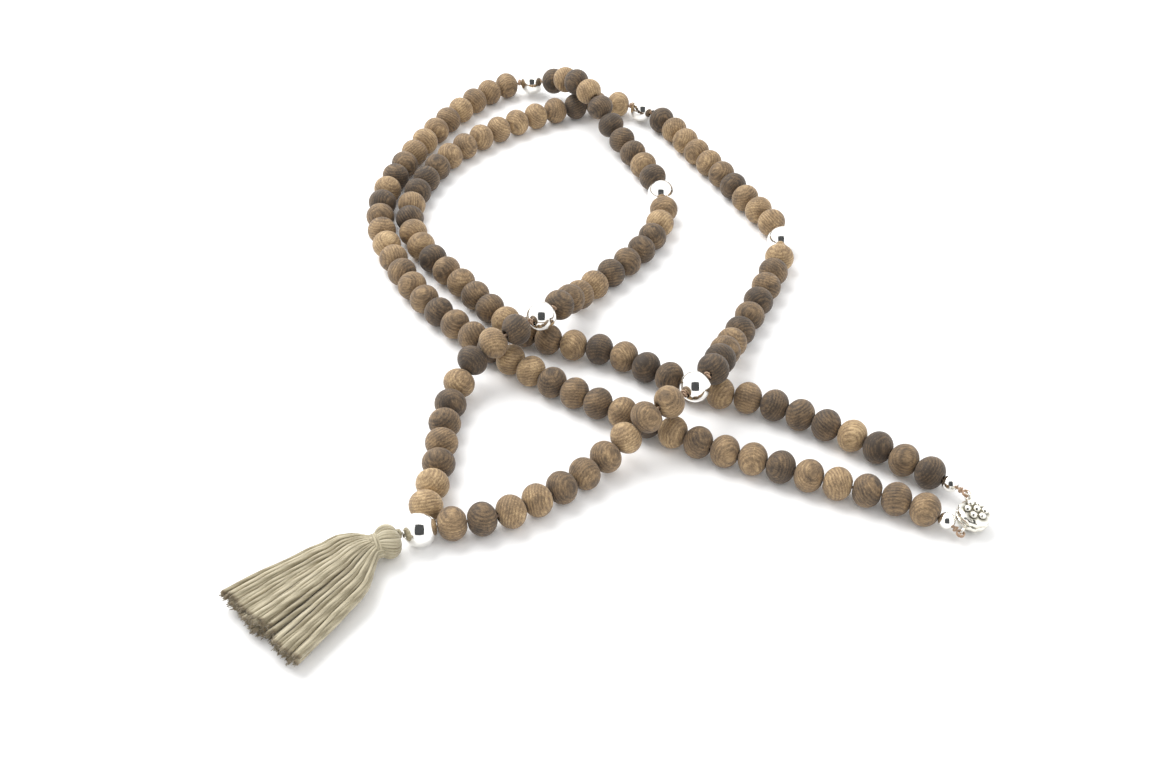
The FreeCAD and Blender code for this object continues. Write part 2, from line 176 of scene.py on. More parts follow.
def finished(thing):
    # the mesh of a curve, or of an object with its modifiers applied
    bpy.context.scene.collection.objects.link(thing)
    bpy.context.view_layer.update()
    graph = bpy.context.evaluated_depsgraph_get()
    mesh = bpy.data.meshes.new_from_object(thing.evaluated_get(graph), depsgraph=graph)
    bpy.data.objects.remove(thing)
    return mesh


def threadSection(lobes, radius, points, depth):
    # cross-section of a plied thread: one lobe to a ply
    data = bpy.data.curves.new("section", "CURVE")
    data.dimensions = "2D"
    line = data.splines.new("POLY")
    line.points.add(points - 1)
    line.use_cyclic_u = True
    for number, point in enumerate(line.points):
        angle = math.tau * number / points
        reach = radius * (1 - depth + depth * abs(math.cos(angle * lobes / 2)))
        point.co = (reach * math.cos(angle), reach * math.sin(angle), 0, 1)
    return bpy.data.objects.new("section", data)


def threads(paths, section, turnLength, cyclic=False):
    # paths: lists of (place, thickness share); every thread turns once in turnLength millimetres
    data = bpy.data.curves.new("threads", "CURVE")
    data.dimensions = "3D"
    data.bevel_mode = "OBJECT"
    data.bevel_object = section
    for path in paths:
        line = data.splines.new("POLY")
        line.points.add(len(path) - 1)
        line.use_cyclic_u = cyclic
        travelled = 0.0
        for number, (point, (place, share)) in enumerate(zip(line.points, path)):
            if number:
                travelled += (place - path[number - 1][0]).length
            point.co = (*place, 1)
            point.radius = share
            point.tilt = math.tau * travelled / (turnLength * mm)
    mesh = finished(bpy.data.objects.new("threads", data))
    bm = bmesh.new()
    bm.from_mesh(mesh)
    if not cyclic:  # the ends are closed here, so that the rings of points stay in order
        bmesh.ops.holes_fill(bm, edges=[edge for edge in bm.edges if edge.is_boundary])
    bmesh.ops.recalc_face_normals(bm, faces=bm.faces)
    bm.to_mesh(mesh)
    bm.free()
    mesh.shade_smooth()
    return mesh


# Camera, floor and light, in millimetres

studio = {
    "cameraPlace": (-8, -298, 244.9),
    "cameraTilt": 47.9,
    "lens": 45.1,
    "paper": "#ffffff",
    "paperHalf": 4000,
    "paperDrop": 0.02,  # below the lowest beads, so that nothing lies in the paper's own plane
    "card": "#3a3b3c",
    "cardSize": (430, 500),
    "cardBehind": 30,  # behind the lens
    "daylight": 0.82,
    "tentGlow": 1.25,
    "tentRadius": 1600,
}

cameraData = bpy.data.cameras.new("camera")
cameraData.lens = studio["lens"]
cameraData.sensor_width = 36
cameraData.clip_start = 10 * mm
camera = bpy.data.objects.new("camera", cameraData)
camera.location = Vector(studio["cameraPlace"]) * mm
camera.rotation_euler = (math.radians(studio["cameraTilt"]), 0, 0)
bpy.context.scene.collection.objects.link(camera)
bpy.context.scene.camera = camera

# White seamless paper: bright and even, takes only a faint soft shadow
paper = newMaterial("whitePaper", {"Base Color": linearColour(studio["paper"]), "Roughness": 0.9,
                                   "Specular IOR Level": 0.1})[0]
bm = bmesh.new()
bmesh.ops.create_grid(bm, x_segments=1, y_segments=1, size=studio["paperHalf"] * mm)
floor = asStage(bm, "floor", paper)
floor.location.z = -studio["paperDrop"] * mm

# Matt black card round the lens: the dark window that every polished ball shows
black = newMaterial("blackCard", {"Base Color": linearColour(studio["card"]), "Roughness": 1.0})[0]
bm = bmesh.new()
bmesh.ops.create_grid(bm, x_segments=1, y_segments=1, size=0.5)
bmesh.ops.scale(bm, vec=(studio["cardSize"][0] * mm, studio["cardSize"][1] * mm, 1), verts=bm.verts)
card = asStage(bm, "blackCard", black, onlyInMetal=True)
card.matrix_world = camera.matrix_basis @ Matrix.Translation((0, 0, studio["cardBehind"] * mm))

# White light tent: what fills the rest of a polished ball
tent = newMaterial("lightTent", {"Base Color": (0, 0, 0, 1), "Roughness": 1.0,
                                 "Emission Color": (1, 1, 1, 1), "Emission Strength": studio["tentGlow"]})[0]
bm = bmesh.new()
bmesh.ops.create_icosphere(bm, subdivisions=4, radius=studio["tentRadius"] * mm)
asStage(bm, "lightTent", tent, onlyInMetal=True)

world = bpy.data.worlds.new("studio")
world.use_nodes = True
world.node_tree.nodes["Background"].inputs["Color"].default_value = (1, 1, 1, 1)
world.node_tree.nodes["Background"].inputs["Strength"].default_value = studio["daylight"]
bpy.context.scene.world = world
bpy.context.scene.view_settings.view_transform = "Standard"

lights = {
    "key": {"place": (-350, 330, 620), "size": 600, "power": 6.0},
    "fill": {"place": (500, -300, 600), "size": 900, "power": 1.3},
}
for name, light in lights.items():
    data = bpy.data.lights.new(name, "AREA")
    data.shape = "SQUARE"
    data.size = light["size"] * mm
    data.energy = light["power"]
    lamp = bpy.data.objects.new(name, data)
    lamp.location = Vector(light["place"]) * mm
    lamp.rotation_mode = "QUATERNION"
    lamp.rotation_quaternion = (-lamp.location).to_track_quat("-Z", "Y")
    bpy.context.scene.collection.objects.link(lamp)
print("studio ready")


# Wood, in millimetres

wood = {
    "diameter": 8.0,
    "length": 6.62,
    "poles": 7.05,  # the oval that the side follows would close this far apart
    "sideShare": 0.97,  # of that oval's height between the flats round the bore
    "bore": 2.0,
    "boreEdge": 0.06,
    "sides": 28,
    "steps": 14,
    "cadRim": (1.0, 3.2),  # reach and height of the bore's rim in the CAD bead
    "seed": 21,
    "plank": 60,  # the beads are cut from anywhere in a plank of this half size
    "shades": (2.6, 2.0),  # the two powers of a beta spread, from dark to light
    "heartwood": 0.16,  # share of beads from the dark core
    "heartwoodShade": 0.15,
}

# Sizes across and along the grain. Real fibres and pores are 0.02 to 0.1 mm wide, too fine to show,
# so both are drawn as the bundles that the eye picks out.
woodGrain = {
    "layer": 0.714,  # one growth layer
    "fibre": (0.3846, 2.222),
    "fine": (0.125, 0.5556),
    "pore": (0.2381, 1.0),
    "cloud": 3.704,  # slow change of shade inside a bead
    "poreDepth": 0.14,
}


def perMillimetre(size):
    across, along = size
    return (1 / across, 1 / across, 1 / along)


def woodMaterial():
    # Unvarnished turned hardwood: growth layers show as rings on one side of a bead and streaks on
    # another, short pores run with the grain, and the shade changes from bead to bead.
    material, tree, surface = newMaterial("turnedHardwood", {"Roughness": 0.62, "Specular IOR Level": 0.3,
                                                             "Sheen Weight": 0.12, "Sheen Roughness": 0.6})
    grain = addNode(tree, "Attribute", {"attribute_name": "grain"}).outputs["Vector"]  # millimetres
    tone = addNode(tree, "Attribute", {"attribute_name": "tone"}).outputs["Fac"]

    # a wave of scale 1 repeats every tenth of pi
    layers = addNode(tree, "TexWave", {
        "bands_direction": "X", "Scale": math.pi / 10 / woodGrain["layer"], "Distortion": 4.0,
        "Detail": 4.0, "Detail Scale": 1.1, "Detail Roughness": 0.6}, {"Vector": grain})
    fibreWay = addNode(tree, "Mapping", {"Scale": perMillimetre(woodGrain["fibre"])}, {"Vector": grain})
    fibre = addNode(tree, "TexNoise", {"Scale": 1.0, "Detail": 5.0, "Roughness": 0.65},
                    {"Vector": fibreWay.outputs[0]})
    fineWay = addNode(tree, "Mapping", {"Scale": perMillimetre(woodGrain["fine"])}, {"Vector": grain})
    fine = addNode(tree, "TexNoise", {"Scale": 1.0, "Detail": 3.0, "Roughness": 0.6},
                   {"Vector": fineWay.outputs[0]})
    clouds = addNode(tree, "TexNoise", {"Scale": 1 / woodGrain["cloud"], "Detail": 4.0, "Roughness": 0.6},
                     {"Vector": grain})
    poreWay = addNode(tree, "Mapping", {"Scale": perMillimetre(woodGrain["pore"])}, {"Vector": grain})
    pores = addNode(tree, "TexNoise", {"Scale": 1.0, "Detail": 2.0}, {"Vector": poreWay.outputs[0]})

    # the patterns and the bead's own tone, each with its weight in the shade
    shade = addNode(tree, "Math", {"operation": "MULTIPLY", 1: 0.11}, {0: layers.outputs["Fac"]})
    for weight, pattern in ((0.52, fibre.outputs["Fac"]), (0.45, fine.outputs["Fac"]),
                            (0.62, clouds.outputs["Fac"]), (0.40, tone)):
        shade = addNode(tree, "Math", {"operation": "MULTIPLY_ADD", 1: weight},
                        {0: pattern, 2: shade.outputs[0]})
    shade = addNode(tree, "MapRange", {"From Min": 0.80, "From Max": 1.36}, {"Value": shade.outputs[0]})
    colour = setRamp(addNode(tree, "ValToRGB", links={"Fac": shade.outputs[0]}), (
        (0.0, "#3b3025"), (0.22, "#564634"), (0.45, "#776146"), (0.68, "#947a58"), (0.86, "#b0946c"),
        (1.0, "#c8ac82")))
    poreMask = addNode(tree, "MapRange", {"From Min": 0.58, "From Max": 0.70},
                       {"Value": pores.outputs["Fac"]})
    poreMask = addNode(tree, "Math", {"operation": "MULTIPLY", 1: 0.55}, {0: poreMask.outputs[0]})
    mixed = addNode(tree, "Mix", {"data_type": "RGBA", 7: linearColour("#33281f")},
                    {0: poreMask.outputs[0], 6: colour.outputs["Color"]})
    tree.links.new(mixed.outputs[2], surface.inputs["Base Color"])

    relief = addNode(tree, "Math", {"operation": "MULTIPLY_ADD", 1: -1.0},
                     {0: poreMask.outputs[0], 2: fibre.outputs["Fac"]})
    bump = addNode(tree, "Bump", {"Strength": 0.6, "Distance": woodGrain["poreDepth"] * mm},
                   {"Height": relief.outputs[0]})
    tree.links.new(bump.outputs[0], surface.inputs["Normal"])
    return material


def beadMesh():
    # one bead on the Z axis: an oval side with a small flat round each end of the bore
    radius, half, pole, bore = (wood[key] / 2 for key in ("diameter", "length", "poles", "bore"))
    edge = wood["boreEdge"]
    reach = math.asin(half / pole) * wood["sideShare"]
    turns = [-reach + 2 * reach * n / wood["steps"] for n in range(wood["steps"] + 1)]
    side = [(radius * math.cos(a), pole * math.sin(a)) for a in turns]
    hole = [(bore + edge, half), (bore, half - edge), (bore, -half + edge), (bore + edge, -half)]
    return asMesh(spun(hole + side, wood["sides"]), "bead")


def beadPlaces(nodeName):
    # middle and axis of every bead of a node: the two rims of its bore are what lies nearest its middle
    bm = bmesh.new()
    bm.from_mesh(frame["nodes"][nodeName].data)
    bmesh.ops.remove_doubles(bm, verts=bm.verts, dist=1e-7)
    reach = math.hypot(*wood["cadRim"]) * 1.02 * mm  # a little more than the rim
    places = []
    seen = set()
    for first in bm.verts:
        if first in seen:
            continue
        island = []
        waiting = [first]
        seen.add(first)
        while waiting:
            vert = waiting.pop()
            island.append(vert.co)
            for edge in vert.link_edges:
                other = edge.other_vert(vert)
                if other not in seen:
                    seen.add(other)
                    waiting.append(other)
        middle = boxMiddle(island)
        rims = [co - middle for co in island if (co - middle).length < reach]
        near = [spoke for spoke in rims if spoke.dot(rims[0]) > 0]
        axis = sum(near, Vector()) / len(near)
        places.append((middle, axis.normalized()))
    bm.free()
    return places


hardwood = woodMaterial()
bead = beadMesh()
chance = random.Random(wood["seed"])
allBeads = {}
for nodeName in sorted(frame["nodes"]):
    if not nodeName.startswith("wood_"):
        continue
    allBeads[nodeName] = beadPlaces(nodeName)
    bm = bmesh.new()
    grain = bm.verts.layers.float_vector.new("grain")
    tone = bm.verts.layers.float.new("tone")
    for middle, axis in allBeads[nodeName]:
        before = len(bm.verts)
        bm.from_mesh(bead)
        bm.verts.ensure_lookup_table()
        fresh = bm.verts[before:]
        cut = Matrix.Rotation(chance.uniform(0, math.tau), 3, Vector([chance.gauss(0, 1) for _ in range(3)]))
        shift = Vector([chance.uniform(-wood["plank"], wood["plank"]) for _ in range(3)])
        shade = chance.betavariate(*wood["shades"])
        if chance.random() < wood["heartwood"]:
            shade = chance.uniform(0.0, wood["heartwoodShade"])
        for vert in fresh:
            vert[grain] = cut @ (vert.co / mm) + shift
            vert[tone] = shade
        bmesh.ops.transform(bm, matrix=turned(axis, middle, chance.uniform(0, math.tau)), verts=fresh)
    body = frame["nodes"][nodeName].parent.name.split(":", 1)[1]
    asPiece(asMesh(bm, nodeName + "Beads"), nodeName + "_turned", hardwood, body, "wood", nodeName)
woodMiddles = [middle for places in allBeads.values() for middle, axis in places]
print("wooden beads:", len(woodMiddles))


# Silver balls, in millimetres

silver = {
    "spacer": 7.6,
    "spacerBore": 2.0,
    "guru": 8.0,
    "guruBore": 2.0,
    "end": 4.0,
    "endBore": 1.5,
    "sides": 48,
    "steps": 22,
    "lip": 0.16,
    "lipCurve": ((0.5, 0.12), (0.1, -0.25), (0.0, -0.9)),  # past the bore and above the ball, in lips
    "guruLip": {"past": 0.06, "thick": 0.11, "sunk": 0.03, "sides": 40},
    "film": 3.85,  # size of a patch of tarnish or of handling marks
}


def silverMaterial():
    # Polished sterling silver: a clean mirror with hair-fine handling marks and a breath of tarnish
    material, tree, surface = newMaterial("polishedSilver", {"Metallic": 1.0})
    place = addNode(tree, "TexCoord").outputs["Object"]
    film = addNode(tree, "TexNoise", {"Scale": 1 / (silver["film"] * mm), "Detail": 3.0}, {"Vector": place})
    colour = setRamp(addNode(tree, "ValToRGB", links={"Fac": film.outputs["Fac"]}),
                     ((0.3, "#f3f1ec"), (0.75, "#fbfaf7")))
    tree.links.new(colour.outputs["Color"], surface.inputs["Base Color"])
    marks = addNode(tree, "MapRange", {"From Min": 0.35, "From Max": 0.8, "To Min": 0.035, "To Max": 0.11},
                    {"Value": film.outputs["Fac"]})
    tree.links.new(marks.outputs[0], surface.inputs["Roughness"])
    return material


polished = silverMaterial()


def ballMesh(diameter, bore, name):
    # a drilled ball with the bore's rims rolled over
    radius, hole, lip = diameter / 2, bore / 2, silver["lip"]
    start = math.asin((hole + lip) / radius)
    steps = silver["steps"]
    angles = [start + (math.pi - 2 * start) * n / steps for n in range(steps + 1)]
    profile = [(radius * math.sin(a), radius * math.cos(a)) for a in angles]
    top = profile[0][1]
    rim = [(hole + lip * past, top + lip * above) for past, above in silver["lipCurve"]]
    profile = list(reversed(rim)) + profile + [(r, -h) for r, h in rim]
    return asMesh(spun(profile, silver["sides"]), name)


for joint in frame["joints"]:
    if joint["name"].startswith("spacer_"):
        mesh = ballMesh(silver["spacer"], silver["spacerBore"], joint["child"])
        mesh.transform(turned(joint["axis"], middleOf(joint["child"])))
        asPiece(mesh, joint["child"] + "_ball", polished, joint["child"], "silver", joint["child"])

loopMiddle = {"a": middleOf("end_loop_lower"), "b": middleOf("end_loop_upper")}
endBody = {"a": "strands", "b": "tail_9"}
endBall = {side: middleOf("end_ball_" + side) for side in "ab"}
for side, middle in endBall.items():
    lastBead = min(woodMiddles, key=lambda place: (place - middle).length)
    mesh = ballMesh(silver["end"], silver["endBore"], "endBall")
    mesh.transform(turned(middle - lastBead, middle))
    asPiece(mesh, "end_ball_" + side + "_ball", polished, endBody[side], "silver", "end_ball_" + side)

# The guru bead: three bores meet in its middle, each with its own rolled rim
guruMiddle = middleOf("guru_bead")
nearest = sorted(woodMiddles, key=lambda place: (place - guruMiddle).length)[:2]
guruWays = [(place - guruMiddle).normalized() for place in nearest]
wrapMiddle = middleOf("tassel_wrap")
headWay = Vector((wrapMiddle.x - guruMiddle.x, wrapMiddle.y - guruMiddle.y, 0)).normalized()
guruWays.append(headWay)
guruRadius = silver["guru"] / 2
guruHole = silver["guruBore"] / 2
bm = bmesh.new()
bmesh.ops.create_uvsphere(bm, u_segments=96, v_segments=48, radius=guruRadius * mm)
ball = bpy.data.objects.new("guruBall", asMesh(bm, "guruBall"))
drills = []
drillDepth = silver["guru"] * 0.75  # from the middle to well outside
for way in guruWays:
    bm = bmesh.new()
    bmesh.ops.create_cone(bm, cap_ends=True, segments=40, radius1=guruHole * mm, radius2=guruHole * mm,
                          depth=drillDepth * mm)
    mesh = asMesh(bm, "drill")
    mesh.transform(turned(way, way * drillDepth / 2 * mm))
    drill = bpy.data.objects.new("drill", mesh)
    bpy.context.scene.collection.objects.link(drill)
    drills.append(drill)
    cut = ball.modifiers.new("bore", "BOOLEAN")
    cut.operation = "DIFFERENCE"
    cut.solver = "EXACT"
    cut.object = drill
mesh = finished(ball)
for drill in drills:
    bpy.data.objects.remove(drill)
guruLip = silver["guruLip"]
lipReach = guruHole + guruLip["past"]
lipLevel = math.sqrt(guruRadius ** 2 - lipReach ** 2) - guruLip["sunk"]
bm = bmesh.new()
bm.from_mesh(mesh)
for way in guruWays:
    lip = asMesh(spun(roundProfile(lipReach, lipLevel, guruLip["thick"], 10), guruLip["sides"]), "lip")
    lip.transform(turned(way, Vector()))
    bm.from_mesh(lip)
bmesh.ops.translate(bm, vec=guruMiddle, verts=bm.verts)
asPiece(asMesh(bm, "guru"), "guru_bead_ball", polished, "strands", "silver", "guru_bead")
print("silver balls done")


# Cord and knots, in millimetres

cord = {
    "thread": 0.5,
    "turnLength": 1.1,
    "colour": ("#997b60", "#cdae92"),
    "fuzz": 0.5556,  # real wax grains are finer: this is the smallest speck that shows
    "fuzzHeight": 0.05,
    "knotSize": 0.29,  # the path of a knot, in units of the trefoil
    "knotPoints": 44,
    "knotShift": (0.35, 0, 0.4),  # a knot is pulled to one side of its cord: upwards here
    "knotOut": 0.035,  # and against the next bead, as a share of its distance from the ball
    "tailShare": 1.25,
    "tailOverlap": 0.12,
    "leadPastLoop": 0.9,
    "loop": 0.86,
    "loopShare": 0.8,
    "loopApart": 0.2,
    "loopKnotSize": 0.2,
    "loopKnotAt": 0.36,  # on the way from the loop to the end ball
}


def cordMaterial():
    # Waxed twisted cord: a faint shine on the crown of each ply, specks where wax gathers
    material, tree, surface = newMaterial("waxedCord", {"Roughness": 0.5, "Specular IOR Level": 0.45,
                                                        "Sheen Weight": 0.2, "Sheen Roughness": 0.4})
    dark, light = cord["colour"]
    place = addNode(tree, "TexCoord").outputs["Object"]
    fuzz = addNode(tree, "TexNoise", {"Scale": 1 / (cord["fuzz"] * mm), "Detail": 4.0, "Roughness": 0.7},
                   {"Vector": place})
    colour = setRamp(addNode(tree, "ValToRGB", links={"Fac": fuzz.outputs["Fac"]}),
                     ((0.3, dark), (0.7, light)))
    tree.links.new(colour.outputs["Color"], surface.inputs["Base Color"])
    bump = addNode(tree, "Bump", {"Strength": 0.4, "Distance": cord["fuzzHeight"] * mm},
                   {"Height": fuzz.outputs["Fac"]})
    tree.links.new(bump.outputs[0], surface.inputs["Normal"])
    return material


waxedCord = cordMaterial()
cordSection = threadSection(2, cord["thread"] / 2 * mm, 8, 0.25)


def knotPath(size, axis, place, spin):
    # an overhand knot pulled tight round the cord
    matrix = turned(axis, place, spin)
    path = []
    for n in range(cord["knotPoints"]):
        t = math.tau * n / cord["knotPoints"]
        reach = 2 + math.cos(3 * t)
        point = Vector((reach * math.cos(2 * t), reach * math.sin(2 * t), math.sin(3 * t))) * size * mm
        path.append((matrix @ point, 1.0))
    return path


for nodeName in sorted(frame["nodes"]):
    if nodeName.startswith("knots_"):
        spacer = "spacer_" + nodeName[6:]
        axis = next(Vector(j["axis"]) for j in frame["joints"] if j["child"] == spacer)
        points = [vert.co for vert in frame["nodes"][nodeName].data.vertices]
        middle = middleOf(spacer)
        places = [boxMiddle([co for co in points if (co - middle).dot(axis) * side > 0]) for side in (-1, 1)]
        paths = [knotPath(cord["knotSize"], place - middle,
                          place + (place - middle) * cord["knotOut"] + Vector(cord["knotShift"]) * mm,
                          chance.uniform(0, 6)) for place in places]
        mesh = threads(paths, cordSection, cord["turnLength"], cyclic=True)
        asPiece(mesh, nodeName + "_tied", waxedCord, "strands", "cord", nodeName)

finishNode("stringing_cord", waxedCord)

# The moving tail's cord: one short length to each link, from hinge to hinge
hinges = {j["child"]: Vector(j["pos_m"]) for j in frame["joints"] if j["name"].startswith("tail_lift_")}
links = sorted(hinges)
for number, body in enumerate(links):
    route = [hinges[body], allBeads["wood_" + body][0][0]]
    if number == len(links) - 1:
        inward = (endBall["b"] - loopMiddle["b"]).normalized()
        route += [endBall["b"], loopMiddle["b"] + inward * cord["leadPastLoop"] * mm]
    else:
        route.append(hinges[links[number + 1]])
    route[0] = route[0] + (route[0] - route[1]).normalized() * cord["tailOverlap"] * mm
    path = []
    for a, b in zip(route, route[1:]):
        path += [(a.lerp(b, n / 20), cord["tailShare"]) for n in range(20)]
    path.append((route[-1], cord["tailShare"]))
    mesh = threads([path], cordSection, cord["turnLength"])
    piece = asPiece(mesh, "cord_" + body, waxedCord, body, "cord")
    if number == 0:
        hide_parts("cord_tail")

# Where the cord goes through the clasp's rings: a doubled loop and the knot that locks it
magnets = {half: middleOf("magnet_" + half) for half in ("upper", "lower")}
claspUp = (magnets["upper"] - magnets["lower"]).normalized()
claspMiddle = (magnets["upper"] + magnets["lower"]) / 2
claspOut = {}
for side, half in (("a", "lower"), ("b", "upper")):
    out = loopMiddle[side] - claspMiddle
    claspOut[half] = (out - claspUp * out.dot(claspUp)).normalized()
    paths = []
    for offset in (-cord["loopApart"], cord["loopApart"]):
        matrix = turned(claspUp, loopMiddle[side] + claspUp * offset * mm)
        reach = cord["loop"] * mm
        paths.append([(matrix @ Vector((reach * math.cos(t), reach * math.sin(t), 0)), cord["loopShare"])
                      for t in [math.tau * n / 32 for n in range(32)]])
    knot = loopMiddle[side].lerp(endBall[side], cord["loopKnotAt"])
    paths.append(knotPath(cord["loopKnotSize"], endBall[side] - loopMiddle[side], knot, 0.5))
    mesh = threads(paths, cordSection, cord["turnLength"], cyclic=True)
    asPiece(mesh, "end_loop_" + half + "_tied", waxedCord, endBody[side], "cord", "end_loop_" + half)
print("cord and knots done")


# Clasp, in millimetres

clasp = {
    "radius": 3.9,
    "gap": 0.2,
    "rim": 1.1,
    "half": 2.3,
    "sides": 72,
    "domeSteps": 14,
    "domeInset": 0.15,  # the dome stops so far inside the rim
    "recess": (2.5, 1.0),
    "shoulder": ((0.04, 0.08), (0.0, 0.3)),  # inside the rim, below its upper edge
    "foot": ((0.0, 0.25), (0.05, 0.08), (0.2, 0.0)),  # inside the rim, above the base
    "granule": 0.9,
    "circle": 2.02,
    "ring": (0.95, 0.3),
    "lobes": 12,
    "lobeDepth": 0.05,
    "lobesFrom": (2.9, 0.9),  # the lobes begin here and are full so much further out
    "hollowReach": 0.8,  # from a granule's foot to where the dome is bright again
    "pits": 0.909,  # real casting grain is finer: this is the smallest that shows
    "pitDepth": 0.2,
    "plateWear": 0.6667,  # a patch of handling wear on the magnets
}


def claspMaterial():
    # Cast and tumbled silver: softer shine than the balls, oxidised grey left in the hollows
    material, tree, surface = newMaterial("castSilver", {"Metallic": 1.0})
    place = addNode(tree, "TexCoord").outputs["Object"]
    pits = addNode(tree, "TexNoise", {"Scale": 1 / (clasp["pits"] * mm), "Detail": 1.0}, {"Vector": place})
    hollow = addNode(tree, "Attribute", {"attribute_name": "hollow"}).outputs["Fac"]
    mixed = addNode(tree, "Mix", {"data_type": "RGBA", 6: linearColour("#efece2"),
                                  7: linearColour("#57523f")}, {0: hollow})
    tree.links.new(mixed.outputs[2], surface.inputs["Base Color"])
    rough = addNode(tree, "MapRange", {"From Min": 0.3, "From Max": 0.7, "To Min": 0.12, "To Max": 0.26},
                    {"Value": pits.outputs["Fac"]})
    tree.links.new(rough.outputs[0], surface.inputs["Roughness"])
    bump = addNode(tree, "Bump", {"Strength": 0.6, "Distance": clasp["pitDepth"] * mm},
                   {"Height": pits.outputs["Fac"]})
    tree.links.new(bump.outputs[0], surface.inputs["Normal"])
    return material


castSilver = claspMaterial()


def claspHalf(half, side):
    radius, base = clasp["radius"], clasp["gap"] / 2
    edge, top = base + clasp["rim"], base + clasp["half"]
    rise = top - edge
    sphere = (radius ** 2 + rise ** 2) / (2 * rise)
    seat, depth = clasp["recess"]
    start = math.asin((radius - clasp["domeInset"]) / sphere)
    turns = [start * n / clasp["domeSteps"] for n in range(clasp["domeSteps"] + 1)]
    dome = [(sphere * math.sin(a), top - sphere + sphere * math.cos(a)) for a in turns]
    wall = [(radius - inside, edge - below) for inside, below in clasp["shoulder"]]
    wall += [(radius - inside, base + above) for inside, above in clasp["foot"]]
    floorOfRecess = [(seat, base), (seat, base + depth), (0, base + depth)]
    bm = spun(dome + wall + floorOfRecess, clasp["sides"], closed=False)
    lobesFrom, lobesGrow = clasp["lobesFrom"]
    for vert in bm.verts:  # the cast rim is faintly lobed, like a flower
        reach = math.hypot(vert.co.x, vert.co.y) / mm
        share = max(0.0, min(1.0, (reach - lobesFrom) / lobesGrow))
        turn = math.atan2(vert.co.y, vert.co.x)
        dent = clasp["lobeDepth"] * share * (1 - abs(math.cos(clasp["lobes"] / 2 * turn)))
        vert.co.xy *= 1 - dent

    # seven granules: one on top and six round it, and the oxide that stays between them
    granule, circle = clasp["granule"], clasp["circle"]
    drop = sphere - math.sqrt(sphere ** 2 - circle ** 2)
    spots = [(0, 0, top)] + [(circle * math.cos(a), circle * math.sin(a), top - drop)
                             for a in [math.tau * n / 6 for n in range(6)]]
    hollow = bm.verts.layers.float.new("hollow")
    for vert in bm.verts:
        away = min((vert.co / mm - Vector(spot)).length for spot in spots)
        vert[hollow] = max(0.0, 1.0 - (away - granule) / clasp["hollowReach"])
    for spot in spots:
        grown = bmesh.ops.create_icosphere(bm, subdivisions=3, radius=granule * mm)["verts"]
        for vert in grown:  # bright on its crown, dark at its foot
            vert[hollow] = max(0.0, min(1.0, 0.75 - 1.6 * vert.co.z / (granule * mm)))
        bmesh.ops.translate(bm, vec=Vector(spot) * mm, verts=grown)
    east = Vector((0, 1, 0)).cross(claspUp).normalized()
    standing = Matrix((east, claspUp.cross(east), claspUp)).transposed().to_4x4()
    if half == "lower":
        standing = standing @ Matrix.Rotation(math.pi, 4, "X")
    bmesh.ops.transform(bm, matrix=Matrix.Translation(claspMiddle) @ standing, verts=bm.verts)

    # the ring stands on edge at the rim
    major, minor = clasp["ring"]
    ring = asMesh(spun(roundProfile(major, 0, minor, 14), 36), "ring")
    out = claspOut[half]
    ring.transform(turned(out.cross(claspUp), loopMiddle[side] - out * major * mm))
    bm.from_mesh(ring)
    bmesh.ops.recalc_face_normals(bm, faces=bm.faces)
    return asMesh(bm, "clasp" + half)


for half, side in (("upper", "b"), ("lower", "a")):
    mesh = claspHalf(half, side)
    asPiece(mesh, "clasp_" + half + "_cast", castSilver, endBody[side], "clasp_silver", "clasp_" + half)

# Nickel plate: greyer and duller than the silver round it
nickel, tree, surface = newMaterial("nickelPlate", {"Metallic": 1.0, "Base Color": linearColour("#a9a6a0")})
place = addNode(tree, "TexCoord").outputs["Object"]
wear = addNode(tree, "TexNoise", {"Scale": 1 / (clasp["plateWear"] * mm), "Detail": 3.0}, {"Vector": place})
rough = addNode(tree, "MapRange", {"To Min": 0.18, "To Max": 0.4}, {"Value": wear.outputs["Fac"]})
tree.links.new(rough.outputs[0], surface.inputs["Roughness"])
for half in magnets:
    finishNode("magnet_" + half, nickel)
print("clasp done")


# Tassel, in millimetres

tassel = {
    "fan": ((0.0, 2.9, 2.8, 4.0), (0.07, 5.4, 3.2, 4.0), (0.16, 7.6, 3.5, 4.0), (0.34, 9.8, 3.5, 3.9),
            (0.67, 12.0, 3.2, 3.6), (1.0, 14.0, 2.9, 3.3)),  # share, half width, half thickness, height
    "length": 32.1,
    "fromWrap": 1.2,  # the neck lies so far beyond the binding's middle
    "yarns": 190,
    "stations": 38,
    "yarn": 1.02,
    "sectionPoints": 10,
    "turnLength": 11.0,
    "gathered": 0.62,  # share of a yarn's thickness where the neck squeezes it
    "tucked": 0.06,  # share of the length that is hidden in the binding
    "tone": (0.38, 0.16),  # mean and spread from yarn to yarn
    "locks": (0.10, 3.1, 1.4),  # how far the yarns part into locks, and the locks' pattern
    "trim": (0.05, 0.03),  # uneven cutting: from lock to lock and from yarn to yarn
    "sway": (0.75, 0.35),  # waviness of a yarn, sideways and up and down
    "rest": 0.48,  # no yarn's middle lies lower
    "seed": 5,
    "colours": ("#8c8269", "#bab095", "#d2c9b2"),
    "fuzz": 0.3846,  # real cotton fibres are twenty times finer: this is the smallest fuzz that shows
    "fuzzHeight": 0.06,
}


